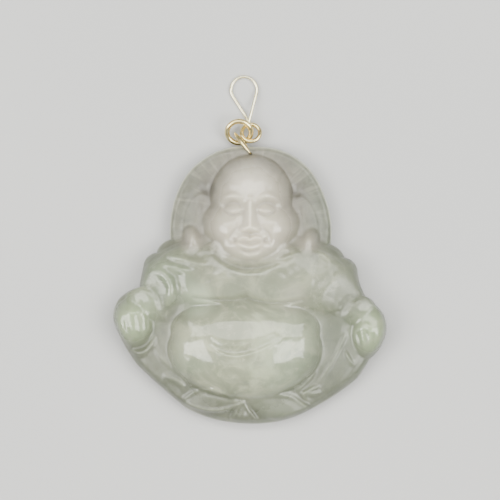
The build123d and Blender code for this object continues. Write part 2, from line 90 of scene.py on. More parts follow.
# Outline as arcs from the crown clockwise: a point half way and the end, in percent of
# the jade's width and height from its middle
OUTLINE = [
    ("halo_top_right", 16.6, 46.4, 26.3, 34.5),
    ("halo_right", 29.3, 25.5, 29.5, 14.9),
    ("shoulder_right", 32.7, 13, 34.6, 10.1),
    ("sleeve_top_right", 37.8, 8.5, 39.3, 5.2),
    ("arm_right", 40.3, 0.4, 42.3, -4),
    ("cuff_right", 44.4, -5.1, 45.9, -7.1),
    ("hand_back_right", 49, -10.9, 49.8, -16.8),
    ("hand_side_right", 47.7, -22.2, 43.6, -26.7),
    ("hem_top_right", 41.7, -30, 39.1, -33.6),
    ("hem_right", 30.9, -39.7, 21.1, -45.3),
    ("base_right", 15, -47.9, 7.3, -49.6),
    ("base_middle", -1.3, -49.96, -12, -48.6),
    ("base_left", -17.9, -46.8, -23.4, -44.2),
    ("hem_left", -32.6, -36.6, -41.2, -28.7),
    ("hem_top_left", -45.8, -21.7, -48.9, -15.3),
    ("hand_left", -49.7, -8.7, -46.9, -3.9),
    ("cuff_left", -43.8, -1.8, -40.4, -0.6),
    ("arm_left", -39.8, 3.1, -39, 6.7),
    ("sleeve_top_left", -37.8, 9.9, -34.2, 11.9),
    ("shoulder_left", -32.5, 14.8, -29.2, 16.7),
    ("halo_left", -28.8, 25.8, -26.3, 34.5),
    ("halo_top_left", -16.6, 46.1, 1, 50),
]

# Rounded forms, in percent of the width (x, half_width), height (y, up, down) and depth
# (foot, top): fullness 0.5 is a quarter round and 1 a soft mound
FORMS = [
    # name, x, y, half_width, up, down, turn, foot, top, fullness, blend
    ("torso", -0.4, -7, 46, 27, 42, 0, 30, 50, 0.35, 6),
    ("shoulder_l", -25, 4, 15, 9.6, 9.6, 30, 42, 61, 0.5, 12),
    ("shoulder_r", 24, 3, 16, 9.8, 11, -30, 42, 63, 0.5, 14),
    ("arm_l", -33.5, 0, 7.8, 11, 11, -30, 40, 58, 0.5, 9),
    ("arm_r", 33, -1.5, 8.6, 11, 11, 32, 40, 54, 0.5, 10),
    ("chest", -0.6, 1, 23.6, 18, 8.8, 0, 46, 66, 0.45, 9),
    ("pec_l", -11.4, -1, 12, 12, 6, 3, 60, 72, 0.8, 8),
    ("pec_r", 10.6, -0.6, 12.6, 12, 6.6, -4, 60, 71.5, 0.8, 8),
    ("belly_top", -1.7, -15.4, 27.2, 11, 16, 0, 40, 86, 0.5, 10),
    ("belly", -1.9, -23, 28.2, 18, 17.8, 0, 36, 98.5, 0.52, 12),
    ("ear_l", -18.4, 23, 5.4, 10, 9, -9, 29, 41.5, 1.1, 12),
    ("lobe_l", -20.8, 16.4, 3.6, 5.4, 4.4, 10, 30, 60, 0.85, 9),
    ("ear_r", 19, 22.2, 5.4, 10, 9, 11, 29, 41.5, 1.1, 12),
    ("lobe_r", 21.4, 15.4, 3.6, 5.4, 4.4, -10, 30, 60, 0.85, 9),
    ("cranium", 0.5, 31.4, 15, 15.6, 15, 0, 33, 78, 0.66, 6),
    ("jowls", 0.3, 21.4, 18, 13, 13, 0, 33, 81, 0.6, 6),
    ("chin_roll", 0, 14.5, 13.8, 7, 7.2, 0, 33, 83, 0.6, 6),
    ("cuff_l", -37.8, -5.4, 7.8, 5.8, 7, -28, 40, 59, 0.5, 8),
    ("hand_l", -42.4, -12.9, 7.8, 8.8, 9.6, 8, 34, 68, 0.58, 6),
    ("cuff_r", 39.6, -7.6, 7, 6, 7, 36, 40, 59, 0.5, 8),
    ("hand_r", 43.6, -16.4, 6.8, 10.2, 9.8, -8, 34, 66, 0.58, 6),
    ("drape_l", -35.4, -27.4, 12.5, 6, 6, -44, 32, 46, 0.8, 6),
    ("drape_r", 35, -28.8, 12.5, 6.6, 6.6, 44, 32, 47, 0.8, 8),
    ("leg_l", -13.2, -42, 11, 4, 3.8, -4, 36, 50, 0.45, 5),
    ("leg_r", 11.4, -43.6, 11.5, 3.8, 5.2, -8, 36, 51, 0.5, 5),
    ("tab", -2.6, -46, 3.6, 5, 4.4, 0, 34, 48, 0.8, 5),
]

# Folds (height above 0) and grooves (below 0), each along a curve from start to end
FOLDS = [
    # name, start_x, start_y, mid_x, mid_y, end_x, end_y, width, height
    ("collar_l", -29.2, 11, -23.4, 8.9, -16.6, 7.4, 1.5, 4),
    ("collar_low_l", -33.4, 9.2, -28.2, 6.4, -21, 5.2, 1.7, 4),
    ("shoulder_dip_l", -32, 9.6, -27, 8.6, -20, 6.6, 1, -2),
    ("sleeve_a_l", -36.2, 6.2, -28.9, 0.6, -31.2, -10.4, 2, 8),
    ("sleeve_a_dip_l", -29, 5.6, -25.6, -1, -28.4, -11.4, 2.4, -3),
    ("cuff_edge_l", -40.8, -1.2, -35.8, -4.8, -33, -11.2, 2.2, 3),
    ("cuff_dip_l", -38.6, 0.4, -33.4, -3.6, -31.8, -9, 1.7, -3),
    ("collar_r", 25, 12.2, 27.8, 10.4, 29.2, 8.2, 1.2, 5),
    ("collar_low_r", 28.6, 7, 27.6, 5, 24.6, 3.4, 1.5, 2),
    ("neck_r", 4, 7.6, 10.4, 9.4, 17, 11.6, 0.9, 2.5),
    ("under_chin", -12.6, 11.4, -0.2, 6.2, 13, 11.2, 1.2, -5),
    ("sleeve_a_r", 34, 3.4, 27.4, -0.8, 26, -9, 2.8, 5),
    ("sleeve_a_dip_r", 30, 4, 24, 0, 22.4, -8, 2.2, -2.5),
    ("sleeve_dip_r", 39.6, -3.6, 35, -5.6, 32.6, -11.2, 1.6, -3),
    ("cuff_edge_r", 41, -5.6, 36.4, -8.8, 33.2, -15, 2, 3),
    ("robe_edge_r", 34.6, -17.6, 31.2, -25, 25.6, -34.6, 0.75, 3.5),
    ("belly_edge_r", 23.7, -30.9, 21.2, -34.1, 17.6, -37.6, 0.6, 3),
    ("robe_fold_r", 34.8, -23.6, 35.6, -25.6, 37.2, -28.4, 0.75, 4.5),
    ("robe_edge_low_l", -35, -21.5, -31.4, -26.6, -26.8, -31.2, 1.2, 4),
    ("fold_end_l", -30.5, -32.6, -26, -34.6, -24.4, -37, 1.2, 6),
    ("under_hand_l", -43.3, -23, -38.9, -24, -35, -19.2, 1.1, 8),
    ("leg_top_l", -24.2, -41, -15, -37.4, -4.6, -41.9, 0.7, 4),
    ("leg_low_l", -22.8, -42.4, -13, -45, -3.3, -42.4, 0.7, 6),
    ("lap_line_l", -21.4, -36.8, -12, -39.6, -2.6, -41.2, 0.7, -2.5),
    ("belly_foot", -22, -36, -2, -41, 18, -37, 2.6, 5),
    ("leg_top_r", 0, -41.5, 12.4, -39.6, 21.4, -44.6, 0.9, 4),
    ("star_a", 19.3, -38.8, 22.3, -37.4, 24.5, -36.3, 0.9, 6),
    ("star_b", 19.7, -38.6, 22.3, -39, 24.8, -38.6, 0.8, 5),
    ("star_c", 19.2, -39, 19.7, -39.9, 20.8, -41, 0.8, 5),
    ("tab_l", -2.7, -41.7, -5.1, -45.3, -6.6, -48.9, 0.8, 3.5),
    ("tab_r", -2.7, -41.7, 0, -45.3, 2.2, -49.1, 0.8, 3.5),
    ("tab_gap_l", -4, -42.6, -6.6, -45.6, -8.2, -48.6, 0.8, -3),
    ("tab_gap_r", -1.2, -42.6, 1.6, -45.6, 3.8, -48.9, 0.8, -3),
    ("breast_line", -20.4, -4.2, -8, -5.2, -1, -4.2, 0.6, -5),
    ("breast_line_r", -1, -4.2, 8, -6.2, 19, -5, 0.6, -5),
    ("belly_crease", -16, -14.6, 0, -16, 14, -14.6, 3.4, -1.2),
    ("navel_lip", -13.8, -21.7, -5, -25.4, 8.6, -20.8, 0.7, 1.6),
    ("navel_fold", -14.6, -20, -4.6, -23.2, 9.2, -18.6, 1.6, -3.4),
    ("finger_gap_1_l", -45.4, -10.4, -44.9, -14, -43.8, -18.6, 1.2, -2.2),
    ("finger_gap_2_l", -41, -10.4, -40.4, -14, -40.2, -18.6, 1.2, -2.2),
    ("finger_gap_1_r", 39, -16.8, 39.6, -19, 40.6, -22.4, 1, -2.5),
    ("finger_gap_2_r", 42, -15.8, 42.4, -18.6, 42.8, -22.4, 1, -3),
    ("finger_gap_3_r", 44.9, -16.6, 44.9, -19, 44.6, -22.4, 1, -2.5),
    ("knuckles_r", 37.6, -17, 41.8, -14.8, 45.4, -17.4, 1.6, 2),
    ("knuckles_l", -47.4, -11.4, -42.8, -9.6, -38.2, -11, 1.8, 3),
    ("brow_l", -10.8, 30, -7, 32.2, -2.4, 30.8, 1.2, 4),
    ("brow_r", 10.8, 30, 7, 32.2, 2.4, 30.8, 1.2, 4),
    ("crease_l", -9.2, 28, -6.2, 29.9, -3.2, 28.4, 0.6, -4),
    ("crease_r", 9.2, 28, 6.2, 29.9, 3.2, 28.4, 0.6, -4),
    ("lash_l", -9.4, 27, -6.2, 25.5, -3, 26.6, 0.5, -5),
    ("lash_r", 9.4, 27, 6.2, 25.5, 3, 26.6, 0.5, -5),
    ("bridge", 0, 31, 0, 26.5, 0, 21.6, 1.5, 9),
    ("side_l", -2.2, 27.6, -3, 24, -4.4, 20.2, 1.2, -2.5),
    ("side_r", 2.2, 27.6, 3, 24, 4.4, 20.2, 1.2, -2.5),
    ("nose_base", -2.6, 19, 0, 18.5, 2.6, 19, 0.6, -6),
    ("philtrum", 0, 18.6, 0, 17.8, 0, 17, 0.6, -3),
    ("lip_line", -5.2, 16.1, 0, 15.5, 5.2, 16.1, 0.45, -7),
    ("lip_upper_l", -4.6, 16.4, -2.4, 17.4, -0.2, 16.7, 0.8, 5),
    ("lip_upper_r", 4.6, 16.4, 2.4, 17.4, 0.2, 16.7, 0.8, 5),
    ("lip_lower", -3.8, 15, 0, 13.6, 3.8, 15, 1.1, 7),
    ("lip_under", -3, 12.9, 0, 12, 3, 12.9, 0.8, -5),
    ("smile_l", -4.6, 20.4, -6.9, 18, -7.2, 15.4, 0.8, -3),
    ("smile_r", 4.6, 20.4, 6.9, 18, 7.2, 15.4, 0.8, -3),
]

# Small soft swellings and hollows laid on the forms
SWELLINGS = [
    # name, x, y, half_width, half_height, turn, height
    ("socket_l", -6.2, 28, 4.4, 3, 0, -7),
    ("socket_r", 6.2, 28, 4.4, 3, 0, -7),
    ("eye_l", -6.2, 27.4, 3, 2, 0, 8),
    ("eye_r", 6.2, 27.4, 3, 2, 0, 8),
    ("nose_tip", 0, 20.9, 2, 1.8, 0, 7),
    ("nostril_l", -2.4, 20.2, 1.3, 1.2, 0, 6),
    ("nostril_r", 2.4, 20.2, 1.3, 1.2, 0, 6),
    ("cheek_l", -10, 20.5, 5.5, 5, 0, 5),
    ("cheek_r", 10, 20.5, 5.5, 5, 0, 5),
    ("chin", 0, 10.6, 4.2, 2.2, 0, 5),
    ("lip_corner_l", -5.7, 16.2, 0.9, 0.9, 0, -5),
    ("lip_corner_r", 5.7, 16.2, 0.9, 0.9, 0, -5),
    ("robe_fill_l", -24.6, -8.6, 4.6, 4.6, 0, 4),
    ("chest_side_l", -23.8, 0.6, 2.6, 5, 4, 4),
    ("robe_fill_r", 23.6, -9.8, 4.6, 5, 0, 3),
    ("chest_side_r", 22.6, -2.6, 3.2, 6, 8, 5),
    ("valley_fill_r", 31.5, -14, 4, 7, 10, 3),
    ("navel", -2.4, -35.6, 2.6, 1.1, 0, -4),
    ("concha_l", -17.9, 25.6, 1.6, 4.4, -9, -4),
    ("concha_r", 18.7, 24.6, 1.6, 4.4, 11, -4),
    ("temple_l", -16.2, 35, 2, 2.6, 20, -4),
    ("temple_r", 17.4, 34.4, 2, 2.6, -20, -4),
]


# The carving's shape


def smooth_max(a, b, blend):
    """The larger of two heights, with the crease between them filled."""
    return (a + b + np.hypot(a - b, blend)) / 2


def turned(x, y, degrees_turned):
    """A step seen from axes that are turned anticlockwise."""
    c, s = math.cos(math.radians(degrees_turned)), math.sin(math.radians(degrees_turned))
    return x * c + y * s, y * c - x * s


def form_height(x, y, row):
    """Height of one rounded form, falling away outside its foot."""
    name, mid_x, mid_y, half_width, up, down, turn, foot, top, fullness, blend = row
    across, along = turned(x - mid_x, y - mid_y, turn)
    share = 1 - (across / half_width) ** 2 - (along / np.where(along > 0, up, down)) ** 2
    return foot + (top - foot) * np.where(share > 0, np.abs(share) ** fullness, 2 * share)


def fold_line(row, steps=12):
    """Points along a fold's curve, as a parabola through its middle."""
    start, mid, end = np.array(row[1:3]), np.array(row[3:5]), np.array(row[5:7])
    pull = 2 * mid - (start + end) / 2
    t = np.linspace(0, 1, steps + 1)[:, None]
    return (1 - t) ** 2 * start + 2 * t * (1 - t) * pull + t * t * end


def nearest_on_line(x, y, line):
    """Distance to a line of points, and how far along it the nearest place is, 0 to 1."""
    best = np.full(x.shape, 1e9)
    along = np.zeros(x.shape)
    for index, ((x0, y0), (x1, y1)) in enumerate(zip(line, line[1:])):
        run_x, run_y = x1 - x0, y1 - y0
        share = ((x - x0) * run_x + (y - y0) * run_y) / (run_x**2 + run_y**2)
        share = np.clip(share, 0, 1)
        distance = np.hypot(x - x0 - share * run_x, y - y0 - share * run_y)
        nearer = distance < best
        best = np.where(nearer, distance, best)
        along = np.where(nearer, (index + share) / (len(line) - 1), along)
    return best, along


def add_fold(height, x, y, row):
    """Adds one fold to the heights, fading out toward its ends and away from its line."""
    width, rise = row[-2:]
    line = fold_line(row)
    low, high = line.min(axis=0) - 3 * width, line.max(axis=0) + 3 * width
    near = (x > low[0]) & (x < high[0]) & (y > low[1]) & (y < high[1])
    distance, along = nearest_on_line(x[near], y[near], line)
    fade = np.sqrt(np.sin(np.pi * (0.05 + 0.9 * along)))
    height[near] += rise * fade * np.exp(-((distance / width) ** 2))


def hand_waver(x, y):
    """Slight unevenness of the hand carving, in percent of the depth, at places in percent."""
    waver = np.zeros(x.shape)
    for number in range(WAVER_WAVES):
        angle = WAVER_TURN * number
        length = WAVER_LENGTH * WAVER_SHRINK**number
        along = x * math.cos(angle) + y * math.sin(angle) + number * WAVER_SHIFT
        across = y * math.cos(angle) - x * math.sin(angle)
        bend = np.sin(2 * np.pi * across / (BEND_LENGTH * length))
        wave = np.sin(2 * np.pi * along / length + BEND_REACH * bend)
        waver += WAVER_SHRINK**number * wave
    (mid_x, mid_y), (half_width, half_height) = CALM_PLACE, CALM_REACH
    calm = np.exp(-(((x - mid_x) / half_width) ** 4) - ((y - mid_y) / half_height) ** 4)
    return waver * WAVER_RISE * (1 - CALM_SHARE * calm)


def relief_height(x, y):
    """Height of the carving above the back in millimetres, at places in millimetres."""
    x, y = x * 100 / JADE_WIDTH, y * 100 / JADE_HEIGHT
    height = np.full(x.shape, HALO_HEIGHT)
    for row in FORMS:
        height = smooth_max(height, form_height(x, y, row), row[-1])
    for row in FOLDS:
        add_fold(height, x, y, row)
    for name, mid_x, mid_y, half_width, half_height, turn, rise in SWELLINGS:
        across, along = turned(x - mid_x, y - mid_y, turn)
        reach = (across / half_width) ** 2 + (along / half_height) ** 2
        height += rise * np.exp(-1.2 * reach)
    height += hand_waver(x, y)
    return height * JADE_DEPTH / 100


def front_height(x, y, inset):
    """Height of the front, rounded over toward the rim."""
    share = min(inset / RIM_ROUND, 1)
    return RIM_HEIGHT + (relief_height(x, y) - RIM_HEIGHT) * math.sqrt(1 - (1 - share) ** 2)


def back_height(inset):
    """Height of the back, flat in the middle and rising toward the rim."""
    share = min(inset / BACK_MARGIN, 1)
    return BACK_RISE * (1 - math.sqrt(1 - (1 - share) ** 2))


def in_millimetres(place):
    """A place in percent of the jade's width and height as millimetres."""
    return np.array(place) * (JADE_WIDTH / 100, JADE_HEIGHT / 100)


def arc_points(start, mid, end):
    """Even points along the arc through three places, without its end."""
    (ax, ay), (bx, by), (cx, cy) = start, mid, end
    d = 2 * (ax * (by - cy) + bx * (cy - ay) + cx * (ay - by))
    a2, b2, c2 = ax**2 + ay**2, bx**2 + by**2, cx**2 + cy**2
    ux = (a2 * (by - cy) + b2 * (cy - ay) + c2 * (ay - by)) / d
    uy = (a2 * (cx - bx) + b2 * (ax - cx) + c2 * (bx - ax)) / d
    first = math.atan2(ay - uy, ax - ux)
    last = math.atan2(cy - uy, cx - ux)
    half = math.atan2(by - uy, bx - ux)
    full = 2 * math.pi
    sweep = (last - first) % full
    if (half - first) % full > sweep:
        sweep -= full
    radius = math.hypot(ax - ux, ay - uy)
    count = 4 * max(1, round(radius * abs(sweep) / RIM_SPACING / 4))
    angle = first + sweep * np.arange(count) / count
    return np.stack([ux + radius * np.cos(angle), uy + radius * np.sin(angle)], axis=1)


def outline_points():
    """Points along the jade's outline, a multiple of four to each arc."""
    start, points = in_millimetres(CROWN), []
    for name, mid_x, mid_y, end_x, end_y in OUTLINE:
        end = in_millimetres((end_x, end_y))
        points.append(arc_points(start, in_millimetres((mid_x, mid_y)), end))
        start = end
    return np.concatenate(points)


def drawn_in(rim, inset):
    """Rim points drawn in toward the carving's middle by an inset in millimetres."""
    middle = in_millimetres(MIDDLE)
    reach = np.hypot(*(rim - middle).T)
    return middle + (rim - middle) * (1 - inset / reach)[:, None]


def carved_rings(rim):
    """Rings of points from the carving's middle out over the rim to the flat back."""
    middle = in_millimetres(MIDDLE)
    reach = np.hypot(*(rim - middle).T)
    rings = []
    for row in range(1, FRONT_RINGS + 1):
        left = 1 - row / FRONT_RINGS
        every = 2 ** sum(1 - left < limit for limit in HALVED_WITHIN)
        places = drawn_in(rim, RIM_ROUND + (reach - RIM_ROUND) * left)[::every]
        rings.append((places, front_height(*places.T, RIM_ROUND)))
    for row in range(1, RIM_RINGS + 1):
        inset = RIM_ROUND * (1 - math.sin(0.5 * math.pi * row / RIM_RINGS))
        places = drawn_in(rim, inset)
        rings.append((places, front_height(*places.T, inset)))
    for row in range(BACK_RINGS + 1):
        inset = BACK_MARGIN * (1 - math.cos(0.5 * math.pi * row / BACK_RINGS))
        places = drawn_in(rim, inset)
        rings.append((places, np.full(len(places), back_height(inset))))
    return rings


def band(inner, outer):
    """Faces between two rings of point numbers, the outer as many or twice as many."""
    step = len(outer) // len(inner)
    faces = []
    for a in range(len(inner)):
        b = (a + 1) % len(inner)
        near = [outer[(a * step + k) % len(outer)] for k in range(step + 1)]
        if step == 1:
            faces.append((inner[a], near[0], near[1], inner[b]))
        else:
            faces.append((inner[a], near[0], near[1]))
            faces.append((inner[a], near[1], inner[b]))
            faces.append((inner[b], near[1], near[2]))
    return faces


def new_piece(name, points, faces):
    """A smooth mesh object from points in millimetres."""
    mesh = bpy.data.meshes.new(name)
    mesh.from_pydata((np.array(points) * MM).tolist(), [], faces)
    mesh.polygons.foreach_set("use_smooth", [True] * len(mesh.polygons))
    mesh.update()
    piece = bpy.data.objects.new(name, mesh)
    bpy.context.scene.collection.objects.link(piece)
    return piece


def carving():
    """The jade as one closed mesh, before its hole is drilled."""
    rim = outline_points()
    middle = in_millimetres(MIDDLE)
    top = front_height(middle[:1], middle[1:], RIM_ROUND)[0]
    points, numbers, count = [np.array([[*middle, top]])], [], 1
    for places, heights in carved_rings(rim):
        points.append(np.column_stack([places, heights]))
        numbers.append(list(range(count, count + len(places))))
        count += len(places)
    faces = [(0, numbers[0][a - 1], numbers[0][a]) for a in range(len(numbers[0]))]
    for inner, outer in zip(numbers, numbers[1:]):
        faces += band(inner, outer)
    faces.append(tuple(numbers[-1]))
    return new_piece("jade_carving", np.concatenate(points), [f[::-1] for f in faces])


def drilled(piece):
    """The piece with the small hole for the bail's prongs cut through it."""
    sides, below, above = HOLE_SIDES, -1, JADE_DEPTH
    angle = 2 * np.pi * np.arange(sides) / sides
    x = HOLE_SIDE + HOLE_DIAMETER / 2 * np.cos(angle)
    y = JADE_HEIGHT / 2 - HOLE_TO_CROWN + HOLE_DIAMETER / 2 * np.sin(angle)
    points = np.concatenate([
        np.column_stack([x, y, np.full(sides, z)]) for z in (below, above)
    ])
    faces = [(a, (a + 1) % sides, sides + (a + 1) % sides, sides + a) for a in range(sides)]
    faces += [tuple(range(sides))[::-1], tuple(range(sides, 2 * sides))]
    drill = new_piece("drill", points, faces)
    cut = piece.modifiers.new("hole", "BOOLEAN")
    cut.operation = "DIFFERENCE"
    cut.solver = "EXACT"
    cut.object = drill
    seen = piece.evaluated_get(bpy.context.evaluated_depsgraph_get())
    mesh = bpy.data.meshes.new_from_object(seen)
    piece.modifiers.clear()
    piece.data = mesh
    bpy.data.objects.remove(drill)
    return piece


# Materials


class Shader:
    """A material's nodes, added and joined in short calls."""

    def __init__(self, name):
        self.material = bpy.data.materials.new(name)
        self.material.use_nodes = True
        self.tree = self.material.node_tree
        self.main = self.tree.nodes["Principled BSDF"]
        self.place = self.node("ShaderNodeTexCoord").outputs["Object"]

    def node(self, kind, inputs=(), **settings):
        """Adds a node, with its settings and with values or links for its inputs."""
        made = self.tree.nodes.new(kind)
        for key, value in settings.items():
            setattr(made, key, value)
        for key, value in dict(inputs).items():
            self.join(value, made.inputs[key])
        return made

    def join(self, value, socket):
        """Links an output to a socket, or sets the socket's value."""
        if isinstance(value, bpy.types.NodeSocket):
            self.tree.links.new(value, socket)
        else:
            socket.default_value = value

    def noise(self, scale, detail=2.0, roughness=0.5, place=None, distortion=0.0):
        """Cloudy noise, its scale in features per metre."""
        made = self.node("ShaderNodeTexNoise", {
            "Vector": place or self.place,
            "Scale": scale,
            "Detail": detail,
            "Roughness": roughness,
            "Distortion": distortion,
        })
        return made.outputs["Fac"]

    def ramp(self, value, low, high, to_low=0.0, to_high=1.0):
        """A value's range stretched smoothly to another range."""
        made = self.node("ShaderNodeMapRange", {
            "Value": value,
            "From Min": low,
            "From Max": high,
            "To Min": to_low,
            "To Max": to_high,
        }, interpolation_type="SMOOTHSTEP")
        return made.outputs["Result"]

    def near(self, centre, inner, outer):
        """1 within a distance of a place in millimetres, falling to 0 farther out."""
        made = self.node("ShaderNodeVectorMath", operation="DISTANCE")
        self.join(self.place, made.inputs[0])
        made.inputs[1].default_value = [c * MM for c in centre]
        return self.ramp(made.outputs["Value"], inner * MM, outer * MM, 1.0, 0.0)

    def rays(self, centre, per_radian, per_metre):
        """Streaks that run outward from a place in millimetres, as noise from 0 to 1."""
        away = self.node("ShaderNodeVectorMath", operation="SUBTRACT")
        self.join(self.place, away.inputs[0])
        away.inputs[1].default_value = [c * MM for c in centre]
        parts = self.node("ShaderNodeSeparateXYZ", {"Vector": away.outputs["Vector"]})
        angle = self.math("ARCTAN2", parts.outputs["X"], parts.outputs["Y"])
        reach = self.node("ShaderNodeVectorMath", operation="LENGTH")
        self.join(away.outputs["Vector"], reach.inputs[0])
        place = self.node("ShaderNodeCombineXYZ", {
            "X": self.math("MULTIPLY", angle, per_radian),
            "Y": self.math("MULTIPLY", reach.outputs["Value"], per_metre),
        })
        return self.noise(1.0, 3.0, 0.5, place=place.outputs["Vector"])

    def height(self):
        """Height above the back in metres."""
        return self.node("ShaderNodeSeparateXYZ", {"Vector": self.place}).outputs["Z"]

    def upward(self):
        """How far the surface faces up: 1 on a flat, 0 on a wall."""
        normal = self.node("ShaderNodeTexCoord").outputs["Normal"]
        return self.node("ShaderNodeSeparateXYZ", {"Vector": normal}).outputs["Z"]

    def math(self, operation, a, b=0.0):
        """The result of one operation on two values."""
        made = self.node("ShaderNodeMath", operation=operation)
        self.join(a, made.inputs[0])
        self.join(b, made.inputs[1])
        return made.outputs["Value"]

    def mix(self, factor, first, second):
        """A colour between two others, each an output or three numbers."""
        made = self.node("ShaderNodeMix", data_type="RGBA")
        self.join(factor, made.inputs[0])
        for colour, socket in ((first, made.inputs[6]), (second, made.inputs[7])):
            self.join((*colour, 1) if isinstance(colour, tuple) else colour, socket)
        return made.outputs[2]

    def bump(self, height, distance, normal=None):
        """Surface relief from a height, its depth in millimetres."""
        made = self.node("ShaderNodeBump", {"Height": height, "Distance": distance * MM})
        if normal:
            self.join(normal, made.inputs["Normal"])
        return made.outputs["Normal"]

    def set(self, **values):
        """Sets or links inputs of the main shader, with _ for the spaces in their names."""
        for key, value in values.items():
            self.join(value, self.main.inputs[key.replace("_", " ")])


# Colours of the jade: of its body, and painted shade for where it is thin and low, standing
# for thin stone letting less light back and for shade in the valleys
BODY_COLOURS = (0.262, 0.282, 0.2), (0.425, 0.445, 0.325)
GREEN_CAST = (0.26, 0.34, 0.24)
WISP_COLOUR = (0.55, 0.55, 0.42)
THIN_SHADE_COLOURS = (0.056, 0.061, 0.045), (0.078, 0.085, 0.064)
HALO_SHADE_COLOURS = (0.062, 0.058, 0.045), (0.104, 0.098, 0.076)
RAY_COLOUR = (0.33, 0.32, 0.26)
HOLLOW_SHADE_COLOUR = (0.055, 0.052, 0.045)
RIM_HIGHLIGHT_COLOUR = (0.66, 0.67, 0.57)
LAVENDER = (0.60, 0.55, 0.46)
PALE_GREEN = (0.46, 0.57, 0.35)

# Zones around places in millimetres, their reaches in millimetres too: tints of the stone,
# painted highlights on the chest and painted shade on the upper right arm
TINTS_AND_PAINTED_LIGHT = [
    # place, reach of the full tint, reach of its edge, share, colour
    ((0.2, 14.2, 6), 7.5, 12, 0.9, LAVENDER),
    ((0, 20, 7), 2.5, 6, 0.6, (0.84, 0.79, 0.69)),
    ((-9.8, 8.2, 4.5), 1.2, 3.2, 0.9, LAVENDER),
    ((10.0, 7.7, 4.5), 1.2, 3.2, 0.9, LAVENDER),
    ((-20, -5.5, 5.5), 2.5, 6, 0.75, PALE_GREEN),
    ((20.8, -7.5, 5.5), 2.5, 5.5, 0.75, PALE_GREEN),
    ((-14.5, 1, 5.5), 3, 7, 0.5, (0.23, 0.31, 0.2)),
    # Painted highlights on the lower edges of the chest, the next two rows
    ((-9, -2.4, 6), 1, 4, 0.6, (0.58, 0.67, 0.49)),
    ((7.5, -2.2, 6.3), 1, 4, 0.35, (0.6, 0.58, 0.48)),
    # Painted shade on the upper right arm
    ((15, -1, 5.5), 3, 7, 0.65, (0.18, 0.2, 0.135)),
]
GLOSSY = [
    # place, reach of the full gloss, reach of its edge, share of the satin left
    ((-0.9, -10.5, 6), 9, 15, 0.6),
    ((-20, -5.5, 5.5), 2.5, 5, 0.4),
    ((20.8, -7.5, 5.5), 2.5, 5, 0.4),
    ((-4.5, -1.2, 6), 4, 7.5, 0.6),
]
# Places of the painted shade in the two hollows beside the head, and the middle of the halo's
# streaks
HALO_HOLLOWS = [(-7.3, 16.7, 3.4), (8.2, 16.2, 3.4)]
HALO_MIDDLE = (0, 12, 3)


def body_colour(m):
    """Cloudy green grey of the whole stone, with its tinted zones, painted highlights on the
    chest, painted shade on the upper right arm, and pale wisps.
    """
    clouds = m.ramp(m.noise(130, 4, 0.6, distortion=0.8), 0.4, 0.62)
    wisps = m.ramp(m.noise(330, 5, 0.65, distortion=1.5), 0.5, 0.75)
    green = m.ramp(m.noise(60, 3, 0.5), 0.42, 0.66)
    colour = m.mix(clouds, *BODY_COLOURS)
    colour = m.mix(m.math("MULTIPLY", green, 0.4), colour, GREEN_CAST)
    for place, inner, outer, share, zone_colour in TINTS_AND_PAINTED_LIGHT:
        zone = m.math("MULTIPLY", m.near(place, inner, outer), share)
        colour = m.mix(zone, colour, zone_colour)
    return m.mix(m.math("MULTIPLY", wisps, 0.4), colour, WISP_COLOUR)


def thin_shade_colour(m, colour):
    """The colour darkened as painted shade on the low parts, where the stone is thin, most on
    the halo plate, the hems and the valleys.
    """
    above_back = m.ramp(m.height(), 0.2 * MM, 2.0 * MM, 0.85, 1.0)
    # Painted shade, from none on the high parts to most on the halo plate, hems and valleys
    shade_share = m.math("MULTIPLY", m.ramp(m.height(), 3.6 * MM, 8.8 * MM, 0.8, 0.0), above_back)
    mottle = m.ramp(m.noise(380, 4, 0.6, distortion=1.0), 0.38, 0.62)
    deep = m.mix(mottle, *THIN_SHADE_COLOURS)
    halo = m.mix(mottle, *HALO_SHADE_COLOURS)
    return m.mix(shade_share, colour, m.mix(m.near((-3, 13, 3), 11, 17), deep, halo))


def halo_streaks_and_shade(m, colour):
    """The colour with the halo's pale streaks and painted shade in its two hollows."""
    rays = m.ramp(m.rays(HALO_MIDDLE, 11, 130), 0.53, 0.7)
    rays = m.math("MULTIPLY", rays, m.near(HALO_MIDDLE, 12.5, 15))
    rays = m.math("MULTIPLY", rays, m.ramp(m.height(), 3.1 * MM, 4.2 * MM, 0.28, 0.0))
    colour = m.mix(rays, colour, RAY_COLOUR)
    for place in HALO_HOLLOWS:
        # Painted shade in the two hollows beside the head
        shade = m.math("MULTIPLY", m.near(place, 0.6, 2.6), 0.5)
        colour = m.mix(shade, colour, HOLLOW_SHADE_COLOUR)
    return colour


def rim_highlight_colour(m, colour):
    """The colour with a painted highlight along the rounded edge, strongest around the halo.
    """
    # Painted highlight where the rounded edge turns up toward the front
    rim = m.ramp(m.height(), 2.1 * MM, 3.0 * MM, 1.0, 0.0)
    rim = m.math("MULTIPLY", rim, m.ramp(m.upward(), 0.0, 0.3))
    around_halo = m.ramp(m.near((0, 11, 2.5), 14, 17), 0.0, 1.0, 0.3, 0.75)
    return m.mix(m.math("MULTIPLY", rim, around_halo), colour, RIM_HIGHLIGHT_COLOUR)


def jade_roughness(m):
    """Satin in the low parts and glossy on the high ones, the belly, chest and hands."""
    satin = m.ramp(m.height(), 4.6 * MM, 7.0 * MM, 0.35, 0.1)
    for place, inner, outer, share in GLOSSY:
        zone = m.near(place, inner, outer)
        satin = m.math("MULTIPLY", satin, m.ramp(zone, 0.0, 1.0, 1.0, share))
    sleeve = m.near((13.8, 0.3, 6), 3, 6)
    satin = m.math("ADD", satin, m.ramp(sleeve, 0.0, 1.0, 0.0, 0.12))
    return m.math("ADD", m.ramp(m.noise(700, 3), 0.35, 0.7, 0.0, 0.05), satin)


